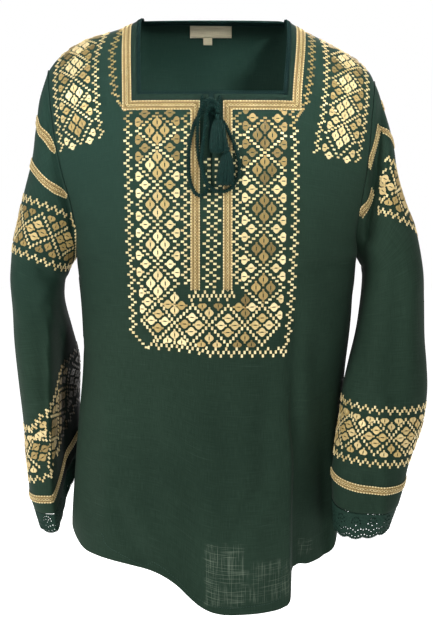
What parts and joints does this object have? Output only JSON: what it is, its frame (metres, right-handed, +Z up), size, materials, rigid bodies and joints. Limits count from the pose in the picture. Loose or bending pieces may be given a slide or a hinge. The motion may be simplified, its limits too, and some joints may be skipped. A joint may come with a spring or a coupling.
{
  "type": "peasant blouse",
  "caption": "Long-sleeved peasant blouse filled out as worn: slit square neck with tied tasselled cords, gold braid and counted embroidery, lace cuffs and a shirt-tail hem.",
  "frame": {"origin": "between the shoulders at the height of the neck, where the wearer holds the blouse", "axes": "+Z up towards the neck, front towards -Y, left and right as seen from the front along X"},
  "size_m": [0.5, 0.2446, 0.7015],
  "materials": {
    "cloth": "matt dark green slub weave, slightly sheer at the front hem",
    "braid": "flat gold metallic braid with a fine chain along its middle",
    "crochet": "dark green crochet edging",
    "lace": "dark green eyelet lace with a scalloped edge",
    "cord": "twisted dark teal green cord",
    "label": "cream satin ribbon, bare",
    "embroidery": "pale gold, peach and ochre satin-stitch thread"
  },
  "bodies": {
    "root": {"back": "cloth", "braid_back": "braid", "braid_cuff_left": "braid", "braid_cuff_right": "braid", "braid_front_left": "braid", "braid_front_right": "braid", "braid_middle_left": "braid", "braid_middle_right": "braid", "braid_upper_left": "braid", "braid_upper_right": "braid", "crochet_back": "crochet", "crochet_front_left": "crochet", "crochet_front_right": "crochet", "cuff_lace_left": "lace", "cuff_lace_right": "lace", "forearm_left": "cloth", "forearm_right": "cloth", "front": "cloth", "label": "label", "size_tab": "label", "sleeve_left": "cloth", "sleeve_right": "cloth", "tassel_left": "cord", "tassel_right": "cord", "tie_cord_left": "cord", "tie_cord_right": "cord"}
  },
  "joints": []
}
